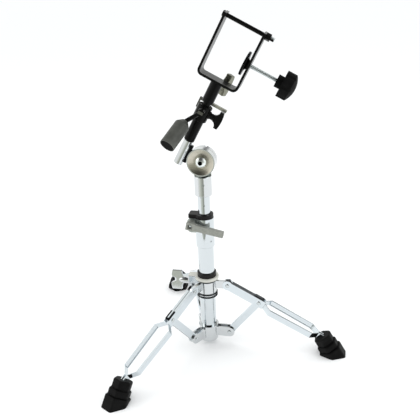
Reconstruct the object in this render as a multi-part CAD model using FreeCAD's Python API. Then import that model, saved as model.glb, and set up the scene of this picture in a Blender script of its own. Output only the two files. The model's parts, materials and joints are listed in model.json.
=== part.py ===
import FreeCAD, Part
import math
import os

# Percussion clamp stand: a folding double-braced tripod, a telescoping pole, a tilter,
# a short arm and a U-shaped screw clamp. Millimetres, +Z up.
# The origin lies on the floor under the pole axis. The tilter turns about Y.

V = FreeCAD.Vector
Y_AXIS = V(0, 1, 0)
Z_AXIS = V(0, 0, 1)
ORIGIN = V(0, 0, 0)

# fits
run_gap = 0.05          # radial clearance of a pin or sliding fit
side_gap = 0.3          # clearance between parts that pass each other
cut_over = 1.0          # how far a cutting tool runs past the face it cuts
long_cut = 90.0         # longer than any hole or slot through one piece
corner_r = 2.2          # rounding of block corners
rim_r = 1.1             # rounding of round rims
fine_r = 0.6            # rounding and bevels of thin edges
hex_sides = 6

# tubes of the pole
base_tube_r = 12.7
base_tube_bore_r = 11.0
base_tube_z0 = 11.0
base_tube_z1 = 226.0
upper_tube_r = 9.525
upper_tube_bore_r = 8.0
upper_tube_z0 = 62.0
upper_tube_z1 = 286.0
button_hole_r = 1.6
button_hole_z = 249.0
front_azimuth = -77.0    # the side of the pole that carries the small screws
button_hole_depth = 1.0

# legs seen in their own vertical plane: r outwards, z up
leg_names = ["a", "b", "c"]
leg_azimuths = [-120.0, 0.0, 120.0]
leg_pivot_r = 34.0
leg_pivot_z = 111.0
leg_slope = 28.5        # degrees below the horizontal
leg_upper_half = 7.0    # half height of the upper part of a leg
leg_lower_half = 4.8    # half height of the parted strips
leg_web = 1.6           # plate thickness
leg_inner_w = 3.0       # inner face of a strip where the two lie together
leg_wide_w = 14.8       # inner face of a strip where they are parted
leg_narrow_w = 12.8     # inner face of the same strip near the foot
leg_end_w = 1.4         # inner face of the strips inside the foot
leg_flange_w = 2.6      # width of the folded edges
leg_flange_t = 1.4
leg_parted_flange_w = 0.9
leg_eye_r = 8.2
leg_flange_u0 = 4.8     # the cover starts at the hood over the pivot
leg_hood_u0 = -4.0      # the hood follows the eye's edge between these two places
leg_hood_u1 = 5.0
leg_flange_u1 = 49.5    # the cover ends short of the strut's upper eye
leg_split_u = 66.0
leg_parted_u = 77.0
leg_closing_u = 152.0
leg_joined_u = 164.0
leg_end_u = 178.0
strut_pivot_u = 57.0

# struts
hub_pivot_r = 35.5
hub_pivot_z = 25.5
strut_half_w = 2.75
strut_half_h = 5.6
strut_plate = 1.2
strut_open_slack = 1.2  # extra room round the rivet in the strut's upper eye

# rivets
rivet_r = 2.2
rivet_head_r = 3.6
rivet_head_t = 1.3

# lower hub
hub_r = 15.0
hub_z0 = 7.5
hub_z1 = 37.0
hub_round = 4.0
hub_ring_t = 2.5
hub_ring_extra = 1.2
clevis_inner_w = 3.0
clevis_t = 2.6
clevis_end_r = 8.2

# leg bracket that slides on the base tube
bracket_r = 15.0
bracket_z0 = 91.0
bracket_z1 = 122.0
bead_extra = 0.8
bead_h = 2.2
bead_pitch = 4.6
bracket_neck_h = 1.4
bracket_neck_r = 13.9
lug_half_w = 2.75
lug_end_r = 6.4

# base clamp
base_collar_r = 19.0
base_collar_h = 4.0
base_bush_r = 14.7
base_bush_top = 133.5
base_bush_lip = 0.4
base_screw_azimuth = 180.0
base_screw_z = 114.5
base_boss_half = 7.5
base_boss_z0 = 106.0
base_boss_reach = 30.0

# T wing screws: inner, neck and outer are measured along the screw from its seat
screw_r = 3.0
wing_bulge = 1.6        # how far the outer edge bows out
wing_root_out = 0.62    # where the curved root of a wing passes, as a share of its length
wing_root_up = 0.22     # and as a share of its height
base_wing = {"half": 16.5, "inner": 6.0, "neck": 10.0, "outer": 29.5, "thick": 5.0, "stem_r": 4.6}
base_wing_notch_r = 3.4
arm_wing = {"half": 13.2, "inner": 6.0, "neck": 11.0, "outer": 18.4, "thick": 5.0, "stem_r": 4.6}
rear_wing = {"half": 16.5, "inner": 7.8, "neck": 11.4, "outer": 20.0, "thick": 7.6, "stem_r": 3.6}

# height clamp
collar_r = 14.7
collar_z0 = 179.0
collar_z1 = 227.0
ear_x0 = -12.0
ear_x1 = -26.0
ear_z0 = 203.0
ear_half_y = 8.0
ear_corner_r = 6.6
ear_slit = 2.0
bush_z0 = 186.0
bush_z1 = 233.5
bush_flange_r = 14.0
bush_ear_x1 = -24.0
bush_ear_half = 8.8
clamp_bolt_x = -18.6
clamp_bolt_z = 218.6
clamp_bolt_r = 3.0
nut_af = 10.0
nut_t = 5.0
lever_boss_r = 6.2
lever_y0 = -15.9
lever_y1 = -22.4
lever_reach = 53.0
lever_slope = 12.5
lever_step = 2.0         # length of the taper behind the square head
lever_half_root = 5.0
lever_half_tip = 4.7
lever_recess = 3.8      # half width of the square recess round the bolt
lever_recess_depth = 1.6
set_screw_r = 2.0
set_screw_z = 190.0
set_screw_azimuth = -40.0
set_screw_af = 1.8

# tilter
tilt_z = 318.0
tilt_disc_r = 21.4
tilt_gap = 0.2
tilt_front_t = 11.0
tilt_rear_t = 8.6
tilt_dish_r = 19.8
tilt_dish_depth = 4.6
tilt_boss_r = 9.6
socket_r = 13.3
socket_z0 = 264.0
socket_z1 = 295.0
socket_seat_z = 286.4
socket_screw_z = 283.0
tilt_bolt_r = 5.0
tilt_dome_h = 4.6
tilt_hex_af = 6.4
tilt_hex_depth = 5.4
tilt_nut_af = 15.0
tilt_nut_t = 6.5
rim_notch_w = 2.4
rim_notch_depth = 1.4
rim_notch_angle = 75.0

# arm, described in its own frame: its axis is local Z, local X points right
arm_tilt = 28.0
arm_offset = 31.2       # from the tilter's axis to the arm's axis
post_r = 7.0
post_z0 = -21.5
post_z1 = 19.0
post_peg_r = 6.0
post_peg_z1 = 30.0
web_half_z = 15.0
web_t = 4.0
sleeve_r = 8.15
sleeve_bore_r = 6.05
sleeve_z1 = 62.0
stem_rod_r = 6.0
stem_rod_z0 = 32.0
stem_r = 8.7
stem_z0 = 84.0
stem_z1 = 116.0
stem_bore_r = 6.35
stem_floor = 89.0
arm_collar_r = 11.0
arm_collar_z0 = 54.0
arm_collar_z1 = 78.0
arm_screw_z = 67.0
arm_boss_r = 5.6
arm_boss_reach = 12.6
arm_slit = 1.4
arm_slit_azimuth = -38.0
arm_lug_half_x = 5.0
arm_lug_y1 = 15.4
arm_lug_z0 = 70.0

# bar behind the arm clamp
bar_y0 = 10.4
bar_x0 = -14.0
bar_x1 = 30.0
bar_z1 = 82.0
bar_hook_z0 = 66.0
bar_hook_t = 2.5
bar_screw_r = 1.5
bar_screw_len = 7.0
bar_screw_head_r = 2.8
bar_screw_head_t = 1.8

# grip lever of the arm clamp: its screw enters the clamp from the front
lever_screw_z = 71.0
lever_head_r = 5.4
lever_head_y0 = -12.0
lever_head_y1 = -22.0
lever_boss_y = -11.8
lever_boss_out_r = 5.8
neck_y = -18.4
neck_r = 3.2
grip_top = V(-14.6, -20.5, 48.5)
grip_end = V(-18.4, -55.8, 16.7)
grip_r = 11.4
grip_shoulder = 8.0     # length of the flared shoulder
grip_bell_r = 5.2       # its small end
grip_cap_t = 1.2
grip_cap_r = 10.2
grip_peg = 20.0
chip_half_x = 4.2
chip_half_z = 2.4
chip_t = 1.2

# U bracket of the clamp, in the arm's frame
jaw_outer_half = 31.8
jaw_plate = 3.5
jaw_half_y = 12.5
jaw_bend_r = 8.0
jaw_z0 = 116.0
jaw_z1 = 207.0
spigot_r = 6.3
spigot_z0 = 91.0
rod_z = 203.0
rod_r = 3.0
rod_x1 = 44.5
rod_head_r = 5.0
rod_nut_af = 9.5
rod_nut_t = 7.0
rod_head_t = 2.8
jaw_screw_z = 157.4
jaw_screw_tip = 24.0
plate_r = 17.5
plate_x0 = 21.5
plate_t = 3.5
plate_hub_r0 = 9.5
plate_hub_r1 = 6.0
knob_x0 = 72.6
knob_hub_r = 9.2
knob_hub_t = 8.4
knob_r = 19.4
knob_t = 14.0
knob_lobes = 7
knob_notch_r = 3.4
knob_dome = 6.4         # rise of its rounded outer face
rear_screw_azimuth = 64.0
rear_screw_z = 112.0
rear_wing_seat = 9.6

# rubber feet
foot_r = 203.0          # where a foot's axis meets the floor
foot_lean = 30.0        # degrees between a foot's axis and the vertical
foot_tier_r = [20.6, 18.0, 15.6]
foot_tier_q0 = [-12.0, 12.5, 23.5]
foot_tier_q1 = [11.0, 22.0, 36.0]
foot_neck_r = 12.8
foot_corner_r = 5.0
foot_rim_r = 2.4


def cylinder(p0, p1, radius):
    """Round bar from one point to another."""
    axis = p1.sub(p0)
    return Part.makeCylinder(radius, axis.Length, p0, axis)


def cone(p0, p1, radius0, radius1):
    """Tapered bar from one point to another."""
    axis = p1.sub(p0)
    return Part.makeCone(radius0, radius1, axis.Length, p0, axis)


def box(x0, x1, y0, y1, z0, z1):
    """Box between two corners given in any order."""
    low = V(min(x0, x1), min(y0, y1), min(z0, z1))
    return Part.makeBox(abs(x1 - x0), abs(y1 - y0), abs(z1 - z0), low)


def ring(outer, inner, z0, z1):
    """Upright ring round the Z axis."""
    body = cylinder(V(0, 0, z0), V(0, 0, z1), outer)
    return body.cut(cylinder(V(0, 0, z0 - cut_over), V(0, 0, z1 + cut_over), inner))


def prism(points, direction):
    """Solid made by sweeping a closed outline of points along a direction."""
    face = Part.Face(Part.makePolygon(points + [points[0]]))
    return face.extrude(direction)


def hexagon(p0, p1, across_flats, side):
    """Six-sided bar from p0 to p1; side is any direction that isn't along the bar."""
    axis = p1.sub(p0)
    along = V(axis).normalize()
    across = side.sub(along.multiply(side.dot(along)))
    across.normalize()
    corner = across.multiply(across_flats / math.sqrt(3.0))
    points = []
    for k in range(hex_sides):
        turn = FreeCAD.Rotation(V(axis), 360.0 * k / hex_sides)
        points.append(p0.add(turn.multVec(V(corner))))
    return prism(points, axis)


def turned(shape, azimuth):
    """Copy of a shape turned about the pole."""
    copy = shape.copy()
    copy.rotate(ORIGIN, Z_AXIS, azimuth)
    return copy


def on_arm(shape):
    """Place a shape made in the arm's own frame."""
    copy = shape.copy()
    copy.translate(V(-arm_offset, 0, 0))
    copy.rotate(ORIGIN, Y_AXIS, arm_tilt)
    copy.translate(V(0, 0, tilt_z))
    return copy


def on_leg(shape):
    """Place a shape made in a leg's frame: X along the leg, Y sideways, Z square to it."""
    copy = shape.copy()
    copy.rotate(ORIGIN, Y_AXIS, leg_slope)
    copy.translate(V(leg_pivot_r, 0, leg_pivot_z))
    return copy


def leg_point(u):
    """Point on a leg's centre line in the plane of the leg at azimuth zero."""
    slope = math.radians(leg_slope)
    return V(leg_pivot_r + u * math.cos(slope), 0, leg_pivot_z - u * math.sin(slope))


def rivet(p, half):
    """Rivet along Y through a point, with a low round head at both ends."""
    body = cylinder(V(p.x, p.y - half, p.z), V(p.x, p.y + half, p.z), rivet_r)
    for side in (-1, 1):
        face = V(p.x, p.y + side * half, p.z)
        tip = V(p.x, p.y + side * (half + rivet_head_t), p.z)
        body = body.fuse(cone(face, tip, rivet_head_r, rivet_head_r - rivet_head_t))
    return body.removeSplitter()


def band(path, thickness, z0, z1):
    """Upright plate that follows a path; the thickness is added towards +Y."""
    near = [V(u, w, z0) for u, w in path]
    far = [V(u, w + thickness, z0) for u, w in reversed(path)]
    return prism(near + far, V(0, 0, z1 - z0))


def strip_path():
    """Inner face of the strip on the +Y side of a leg, from the pivot to the foot."""
    return [
        (0.0, leg_inner_w),
        (leg_split_u, leg_inner_w),
        (leg_parted_u, leg_wide_w),
        (leg_closing_u, leg_narrow_w),
        (leg_joined_u, leg_end_w),
        (leg_end_u, leg_end_w),
    ]


def leg_strip():
    """Pressed strip on the +Y side of a leg, in the leg's frame."""
    path = strip_path()
    body = band(path, leg_web, -leg_lower_half, leg_lower_half)
    upper = band(path[0:2], leg_web, -leg_upper_half, leg_upper_half)
    end = cylinder(V(0, leg_inner_w, 0), V(0, leg_inner_w + leg_web, 0), leg_eye_r)
    body = body.fuse([upper, end])
    top = leg_upper_half - leg_flange_t
    edge_w = leg_inner_w - leg_flange_w
    cover = box(leg_flange_u0, leg_flange_u1, edge_w, leg_inner_w, top, leg_upper_half)
    hood = cylinder(V(0, edge_w, 0), V(0, leg_inner_w, 0), leg_eye_r)
    hood = hood.cut(cylinder(V(0, 0, 0), V(0, long_cut, 0), leg_eye_r - leg_flange_t))
    hood = hood.common(box(leg_hood_u0, leg_hood_u1, 0, leg_inner_w, 0, leg_eye_r))
    body = body.fuse([cover, hood])
    parted = [(u, w - leg_parted_flange_w) for u, w in path[2:4]]
    for z0 in (-leg_lower_half, leg_lower_half - leg_flange_t):
        body = body.fuse(band(parted, leg_parted_flange_w, z0, z0 + leg_flange_t))
    for u in (0.0, strut_pivot_u):
        hole = cylinder(V(u, 0, 0), V(u, leg_inner_w + leg_web + cut_over, 0), rivet_r + run_gap)
        body = body.cut(hole)
    return body.removeSplitter()


def strut():
    """U channel between a leg and the lower hub, in the plane of the leg at azimuth zero."""
    top = leg_point(strut_pivot_u)
    low = V(hub_pivot_r, 0, hub_pivot_z)
    length = top.sub(low).Length
    outer = box(0, length, -strut_half_w, strut_half_w, -strut_half_h, strut_half_h)
    inner_w = strut_half_w - strut_plate
    reach = strut_half_h + cut_over
    hollow = box(-reach, length + reach, -inner_w, inner_w, -reach, strut_half_h - strut_plate)
    body = outer
    for u in (0.0, length):
        eye = cylinder(V(u, -strut_half_w, 0), V(u, strut_half_w, 0), strut_half_h)
        body = body.fuse(eye)
    eye_room = box(-reach, 0, -inner_w, inner_w, -reach, reach)
    far_room = box(length, length + reach, -inner_w, inner_w, -reach, reach)
    body = body.cut([hollow, eye_room, far_room])
    body = body.cut(cylinder(V(0, -long_cut, 0), V(0, long_cut, 0), rivet_r + run_gap))
    slack_r = rivet_r + strut_open_slack
    body = body.cut(cylinder(V(length, -long_cut, 0), V(length, long_cut, 0), slack_r))
    rise = math.degrees(math.atan2(top.z - low.z, top.x - low.x))
    body.rotate(ORIGIN, Y_AXIS, -rise)
    body.translate(low)
    return body.removeSplitter()


def hex_tier(radius, q0, q1):
    """Six-sided rubber disc with softened corners, along local Z."""
    points = []
    for k in range(hex_sides):
        angle = 2.0 * math.pi * (k + 0.5) / hex_sides
        points.append(V(radius * math.cos(angle), radius * math.sin(angle), q0))
    body = prism(points, V(0, 0, q1 - q0))
    upright = [e for e in body.Edges if e.BoundBox.ZLength > foot_rim_r]
    body = body.makeFillet(foot_corner_r, upright)
    rims = [e for e in body.Edges if e.BoundBox.ZMin > q1 - run_gap]
    return body.makeFillet(foot_rim_r, rims)


def foot():
    """Rubber foot of the leg at azimuth zero: three tiers cut flat at the floor."""
    body = cylinder(V(0, 0, foot_tier_q0[0]), V(0, 0, foot_tier_q1[2] - foot_rim_r), foot_neck_r)
    for radius, q0, q1 in zip(foot_tier_r, foot_tier_q0, foot_tier_q1):
        body = body.fuse(hex_tier(radius, q0, q1))
    body.rotate(ORIGIN, Y_AXIS, -foot_lean)
    body.translate(V(foot_r, 0, 0))
    body = body.cut(box(foot_r - long_cut, foot_r + long_cut, -long_cut, long_cut, -long_cut, 0))
    half_w = leg_end_w + leg_web
    pocket = box(leg_joined_u - side_gap, leg_end_u, -half_w, half_w, -leg_lower_half, leg_lower_half)
    return body.cut(on_leg(pocket)).removeSplitter()


def lower_hub():
    """Casting at the foot of the base tube with three forked lugs."""
    body = cylinder(V(0, 0, hub_z0), V(0, 0, hub_z1), hub_r)
    bottom = [e for e in body.Edges if e.BoundBox.ZMax < hub_z0 + run_gap]
    body = body.makeFillet(hub_round, bottom)
    lip = cylinder(V(0, 0, hub_z1 - hub_ring_t), V(0, 0, hub_z1), hub_r + hub_ring_extra)
    body = body.fuse(lip)
    for azimuth in leg_azimuths:
        for side in (-1, 1):
            w0 = side * clevis_inner_w
            w1 = side * (clevis_inner_w + clevis_t)
            low = hub_pivot_z - clevis_end_r
            high = hub_pivot_z + clevis_end_r
            plate = box(0, hub_pivot_r, w0, w1, low, high)
            end = cylinder(V(hub_pivot_r, w0, hub_pivot_z), V(hub_pivot_r, w1, hub_pivot_z), clevis_end_r)
            body = body.fuse(turned(plate.fuse(end), azimuth))
    body = body.cut(cylinder(V(0, 0, base_tube_z0), V(0, 0, hub_z1 + cut_over), base_tube_r + run_gap))
    for azimuth in leg_azimuths:
        p0 = V(hub_pivot_r, -hub_r, hub_pivot_z)
        p1 = V(hub_pivot_r, hub_r, hub_pivot_z)
        body = body.cut(turned(cylinder(p0, p1, rivet_r + run_gap), azimuth))
    return body.removeSplitter()


def leg_bracket():
    """Sliding casting that carries the three legs."""
    body = cylinder(V(0, 0, bracket_z0), V(0, 0, bracket_z1 - bracket_neck_h), bracket_r)
    body = body.fuse(cylinder(V(0, 0, bracket_z0), V(0, 0, bracket_z1), bracket_neck_r))
    for k in range(2):
        z0 = bracket_z0 + k * bead_pitch
        body = body.fuse(cylinder(V(0, 0, z0), V(0, 0, z0 + bead_h), bracket_r + bead_extra))
    for azimuth in leg_azimuths:
        low = leg_pivot_z - lug_end_r
        plate = box(0, leg_pivot_r, -lug_half_w, lug_half_w, low, leg_pivot_z + lug_end_r)
        end = cylinder(V(leg_pivot_r, -lug_half_w, leg_pivot_z), V(leg_pivot_r, lug_half_w, leg_pivot_z),
                       lug_end_r)
        body = body.fuse(turned(plate.fuse(end), azimuth))
    bore = cylinder(V(0, 0, bracket_z0 - cut_over), V(0, 0, bracket_z1 + cut_over), base_tube_r + run_gap)
    body = body.cut(bore)
    thread = cylinder(V(0, 0, base_screw_z), V(long_cut, 0, base_screw_z), screw_r + run_gap)
    body = body.cut(turned(thread, base_screw_azimuth))
    for azimuth in leg_azimuths:
        p0 = V(leg_pivot_r, -bracket_r, leg_pivot_z)
        p1 = V(leg_pivot_r, bracket_r, leg_pivot_z)
        body = body.cut(turned(cylinder(p0, p1, rivet_r + run_gap), azimuth))
    return body.removeSplitter()


def base_collar():
    """Cap plate of the leg bracket with the block that holds its wing screw."""
    z1 = bracket_z1 + base_collar_h
    body = cylinder(V(0, 0, bracket_z1), V(0, 0, z1), base_collar_r)
    block = box(0, base_boss_reach, -base_boss_half, base_boss_half, base_boss_z0, z1)
    front = base_boss_reach - run_gap
    corners = [e for e in block.Edges if e.BoundBox.XMin > front and e.BoundBox.ZLength > corner_r]
    block = block.makeFillet(corner_r, corners)
    block = block.cut(cylinder(V(0, 0, 0), V(0, 0, bracket_z1), bracket_r + run_gap))
    body = body.fuse(turned(block, base_screw_azimuth)).removeSplitter()
    rims = [e for e in body.Edges if e.BoundBox.ZMin > z1 - run_gap]
    body = body.makeFillet(fine_r, rims)
    bore = cylinder(V(0, 0, bracket_z1 - cut_over), V(0, 0, z1 + cut_over), base_bush_r + run_gap)
    mouth = V(base_boss_reach + cut_over, 0, base_screw_z)
    thread = cylinder(V(0, 0, base_screw_z), mouth, screw_r + run_gap)
    return body.cut([bore, turned(thread, base_screw_azimuth)]).removeSplitter()


def base_bushing():
    """Nylon sleeve between the base clamp and the tube."""
    body = ring(base_bush_r, base_tube_r + run_gap, bracket_z1, base_bush_top)
    lip_z = bracket_z1 + base_collar_h
    lip = ring(base_bush_r + base_bush_lip, base_tube_r + run_gap, lip_z, base_bush_top)
    return body.fuse(lip).removeSplitter()


def t_wing(seat, tip, half, inner, neck, outer, thick, stem_r):
    """Wing screw along +X: the tip of its thread and the seat of its stem are on the axis."""
    thread = cylinder(V(tip, 0, 0), V(seat, 0, 0), screw_r)
    stem = cylinder(V(seat, 0, 0), V(seat + inner, 0, 0), stem_r)
    y0 = -thick / 2.0
    root_x = seat + inner - cut_over
    neck_x = seat + neck
    outer_x = seat + outer
    side_x = outer_x - wing_bulge
    mid_x = root_x + wing_root_out * (neck_x - root_x)
    mid_z = stem_r + wing_root_up * (half - stem_r)
    low_root = V(root_x, y0, -stem_r)
    top_root = V(root_x, y0, stem_r)
    outline = [
        Part.LineSegment(low_root, top_root),
        Part.Arc(top_root, V(mid_x, y0, mid_z), V(neck_x, y0, half)),
        Part.LineSegment(V(neck_x, y0, half), V(side_x, y0, half)),
        Part.Arc(V(side_x, y0, half), V(outer_x, y0, 0), V(side_x, y0, -half)),
        Part.LineSegment(V(side_x, y0, -half), V(neck_x, y0, -half)),
        Part.Arc(V(neck_x, y0, -half), V(mid_x, y0, -mid_z), low_root),
    ]
    wire = Part.Wire([curve.toShape() for curve in outline])
    wings = Part.Face(wire).extrude(V(0, thick, 0))
    return thread.fuse([stem, wings]).removeSplitter()


def base_wing_screw():
    """Wing screw of the base clamp."""
    body = t_wing(base_boss_reach, base_tube_r + run_gap, **base_wing)
    edge_x = base_boss_reach + base_wing["outer"]
    body = body.cut(cylinder(V(edge_x, -long_cut, 0), V(edge_x, long_cut, 0), base_wing_notch_r))
    body.translate(V(0, 0, base_screw_z))
    return turned(body, base_screw_azimuth)


def height_collar():
    """Tall split clamp at the top of the base tube, with two ears on its -X side."""
    body = cylinder(V(0, 0, collar_z0), V(0, 0, collar_z1), collar_r)
    rims = [e for e in body.Edges if e.BoundBox.ZMax < collar_z0 + run_gap]
    body = body.makeFillet(rim_r, rims)
    ears = box(ear_x0, ear_x1, -ear_half_y, ear_half_y, ear_z0, collar_z1)
    front = ear_x1 + run_gap
    corners = [e for e in ears.Edges if e.BoundBox.XMax < front and e.BoundBox.YLength > ear_half_y]
    ears = ears.makeFillet(ear_corner_r, corners)
    body = body.fuse(ears)
    bore = cylinder(V(0, 0, collar_z0 - cut_over), V(0, 0, collar_z1 + cut_over), base_tube_r + run_gap)
    slit = box(0, ear_x1 - cut_over, -ear_slit / 2.0, ear_slit / 2.0, ear_z0 - side_gap, collar_z1 + cut_over)
    hole = cylinder(V(clamp_bolt_x, -long_cut, clamp_bolt_z), V(clamp_bolt_x, long_cut, clamp_bolt_z),
                    clamp_bolt_r + run_gap)
    screw = turned(cylinder(V(0, 0, set_screw_z), V(long_cut, 0, set_screw_z), set_screw_r + run_gap),
                   set_screw_azimuth)
    return body.cut([bore, slit, hole, screw]).removeSplitter()


def height_set_screw():
    """Small grub screw that keeps the height clamp on its tube."""
    p0 = V(base_tube_r + run_gap, 0, set_screw_z)
    p1 = V(collar_r, 0, set_screw_z)
    body = cylinder(p0, p1, set_screw_r)
    socket = hexagon(V(collar_r - cut_over, 0, set_screw_z), V(collar_r + cut_over, 0, set_screw_z),
                     set_screw_af, Z_AXIS)
    return turned(body.cut(socket), set_screw_azimuth)


def height_bushing():
    """Nylon guide between the two tubes, with a flange that repeats the clamp's outline."""
    inner = upper_tube_r + run_gap
    body = ring(base_tube_bore_r - run_gap, inner, bush_z0, bush_z1)
    flange = cylinder(V(0, 0, collar_z1), V(0, 0, bush_z1), bush_flange_r)
    ear = box(0, bush_ear_x1, -bush_ear_half, bush_ear_half, collar_z1, bush_z1)
    front = bush_ear_x1 + run_gap
    corners = [e for e in ear.Edges if e.BoundBox.XMax < front and e.BoundBox.ZLength > corner_r]
    ear = ear.makeFillet(corner_r, corners)
    flange = flange.fuse(ear)
    flange = flange.cut(cylinder(V(0, 0, collar_z1 - cut_over), V(0, 0, bush_z1 + cut_over), inner))
    return body.fuse(flange).removeSplitter()


def clamp_bolt():
    """Bolt through the ears, seen behind the lever."""
    front = V(clamp_bolt_x, lever_y1 + lever_recess_depth, clamp_bolt_z)
    back = V(clamp_bolt_x, ear_half_y + nut_t, clamp_bolt_z)
    return cylinder(front, back, clamp_bolt_r)


def clamp_nut():
    """Nut of the clamp bolt on the far side of the ears."""
    near = V(clamp_bolt_x, ear_half_y, clamp_bolt_z)
    far = V(clamp_bolt_x, ear_half_y + nut_t, clamp_bolt_z)
    body = hexagon(near, far, nut_af, Z_AXIS)
    return body.cut(cylinder(near, far, clamp_bolt_r + run_gap))


def height_lever():
    """One-sided lever that tightens the height clamp."""
    centre = V(clamp_bolt_x, 0, clamp_bolt_z)
    back = V(clamp_bolt_x, -ear_half_y, clamp_bolt_z)
    front = V(clamp_bolt_x, lever_y1, clamp_bolt_z)
    boss = cylinder(back, front, lever_boss_r)
    outline = [
        V(-lever_boss_r, lever_y1, -lever_boss_r),
        V(lever_boss_r, lever_y1, -lever_boss_r),
        V(lever_boss_r + lever_step, lever_y1, -lever_half_root),
        V(lever_reach, lever_y1, -lever_half_tip),
        V(lever_reach, lever_y1, lever_half_tip),
        V(lever_boss_r + lever_step, lever_y1, lever_half_root),
        V(lever_boss_r, lever_y1, lever_boss_r),
        V(-lever_boss_r, lever_y1, lever_boss_r),
    ]
    bar = prism(outline, V(0, lever_y0 - lever_y1, 0))
    ends = [e for e in bar.Edges if e.BoundBox.YLength > cut_over and e.BoundBox.XLength < run_gap
            and (e.BoundBox.XMin > lever_reach - side_gap or e.BoundBox.XMax < side_gap)]
    bar = bar.makeFillet(rim_r, ends)
    bar.rotate(ORIGIN, Y_AXIS, lever_slope)
    bar.translate(centre)
    hole = cylinder(centre, V(clamp_bolt_x, -long_cut, clamp_bolt_z), clamp_bolt_r + run_gap)
    recess = box(clamp_bolt_x - lever_recess, clamp_bolt_x + lever_recess,
                 lever_y1 - cut_over, lever_y1 + lever_recess_depth,
                 clamp_bolt_z - lever_recess, clamp_bolt_z + lever_recess)
    return boss.fuse(bar).cut([hole, recess]).removeSplitter()


def upper_tube():
    """Thin tube that telescopes in the base tube."""
    body = ring(upper_tube_r, upper_tube_bore_r, upper_tube_z0, upper_tube_z1)
    bottom = V(upper_tube_r - button_hole_depth, 0, button_hole_z)
    dimple = cylinder(bottom, V(upper_tube_r + cut_over, 0, button_hole_z), button_hole_r)
    return body.cut(turned(dimple, front_azimuth))


def tilter_base():
    """Socket on the upper tube with the rear disc of the tilter."""
    body = cylinder(V(0, 0, socket_z0), V(0, 0, socket_z1), socket_r)
    rims = [e for e in body.Edges if e.BoundBox.ZLength < run_gap and e.BoundBox.XLength > socket_r]
    body = body.makeFillet(rim_r, rims)
    neck = cylinder(V(0, 0, socket_z0 + rim_r), V(0, 0, tilt_z), socket_r)
    neck = neck.common(box(-socket_r, socket_r, tilt_gap, tilt_gap + tilt_rear_t, socket_z0, tilt_z))
    disc = cylinder(V(0, tilt_gap, tilt_z), V(0, tilt_gap + tilt_rear_t, tilt_z), tilt_disc_r)
    notch_z = tilt_disc_r - rim_notch_depth
    notch = box(-rim_notch_w / 2.0, rim_notch_w / 2.0, 0, long_cut, notch_z, long_cut)
    notch.rotate(ORIGIN, Y_AXIS, 90.0 - rim_notch_angle)
    notch.translate(V(0, 0, tilt_z))
    body = body.fuse([neck, disc])
    bore = cylinder(V(0, 0, socket_z0 - cut_over), V(0, 0, socket_seat_z), upper_tube_r + run_gap)
    bolt = cylinder(V(0, -long_cut, tilt_z), V(0, long_cut, tilt_z), tilt_bolt_r + run_gap)
    screw = cylinder(V(0, 0, socket_screw_z), V(long_cut, 0, socket_screw_z), set_screw_r + run_gap)
    return body.cut([notch, bore, bolt, turned(screw, front_azimuth)]).removeSplitter()


def socket_screw():
    """Grub screw that fixes the socket to the upper tube."""
    body = cylinder(V(upper_tube_r + run_gap, 0, socket_screw_z), V(socket_r, 0, socket_screw_z), set_screw_r)
    socket = hexagon(V(socket_r - cut_over, 0, socket_screw_z), V(socket_r + cut_over, 0, socket_screw_z),
                     set_screw_af, Z_AXIS)
    return turned(body.cut(socket), front_azimuth)


def tilter_head():
    """Front disc of the tilter with the post beside it, in the arm's frame."""
    centre = V(arm_offset, 0, 0)
    front = -tilt_gap - tilt_front_t
    disc = cylinder(V(centre.x, front, 0), V(centre.x, -tilt_gap, 0), tilt_disc_r)
    floor = front + tilt_dish_depth
    rise = tilt_dish_r * tilt_dish_r - tilt_boss_r * tilt_boss_r - tilt_dish_depth * tilt_dish_depth
    bowl_y = rise / (2.0 * tilt_dish_depth)
    dish = Part.makeSphere(math.hypot(bowl_y, tilt_dish_r), V(centre.x, front - bowl_y, 0))
    dish = dish.cut(cylinder(V(centre.x, floor, 0), V(centre.x, long_cut, 0), tilt_dish_r))
    core_top = V(centre.x, front + cut_over, 0)
    core = cone(core_top, V(centre.x, floor + cut_over, 0), tilt_boss_r - cut_over, tilt_boss_r)
    disc = disc.cut(dish.cut(core))
    post = cylinder(V(0, 0, post_z0), V(0, 0, post_z1), post_r)
    rims = [e for e in post.Edges if e.BoundBox.ZLength < run_gap]
    post = post.makeChamfer(fine_r, rims)
    peg = cylinder(V(0, 0, post_z0 + cut_over), V(0, 0, post_peg_z1), post_peg_r)
    web_x1 = arm_offset - tilt_dish_r - side_gap
    web = box(0, web_x1, -web_t, -tilt_gap, -web_half_z, web_half_z)
    body = disc.fuse([post, peg, web])
    hole = cylinder(V(centre.x, -long_cut, 0), V(centre.x, long_cut, 0), tilt_bolt_r + run_gap)
    return body.cut(hole).removeSplitter()


def tilter_bolt():
    """Bolt of the tilter with a domed head and a hexagon socket."""
    front = -tilt_gap - tilt_front_t + cut_over
    back = tilt_gap + tilt_rear_t + tilt_nut_t
    shank = cylinder(V(0, front, tilt_z), V(0, back, tilt_z), tilt_bolt_r)
    rim_r = tilt_boss_r - cut_over
    ball_r = (rim_r * rim_r + tilt_dome_h * tilt_dome_h) / (2.0 * tilt_dome_h)
    ball = Part.makeSphere(ball_r, V(0, front - tilt_dome_h + ball_r, tilt_z))
    half_space = box(-long_cut, long_cut, front - long_cut, front, tilt_z - long_cut, tilt_z + long_cut)
    dome = ball.common(half_space)
    socket_floor = V(0, front - tilt_dome_h + tilt_hex_depth, tilt_z)
    socket = hexagon(V(0, front - long_cut, tilt_z), socket_floor, tilt_hex_af, Z_AXIS)
    return dome.fuse(shank).cut(socket).removeSplitter()


def tilter_nut():
    """Nut behind the rear disc."""
    y0 = tilt_gap + tilt_rear_t
    body = hexagon(V(0, y0, tilt_z), V(0, y0 + tilt_nut_t, tilt_z), tilt_nut_af, Z_AXIS)
    return body.cut(cylinder(V(0, 0, tilt_z), V(0, long_cut, tilt_z), tilt_bolt_r + run_gap))


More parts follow.
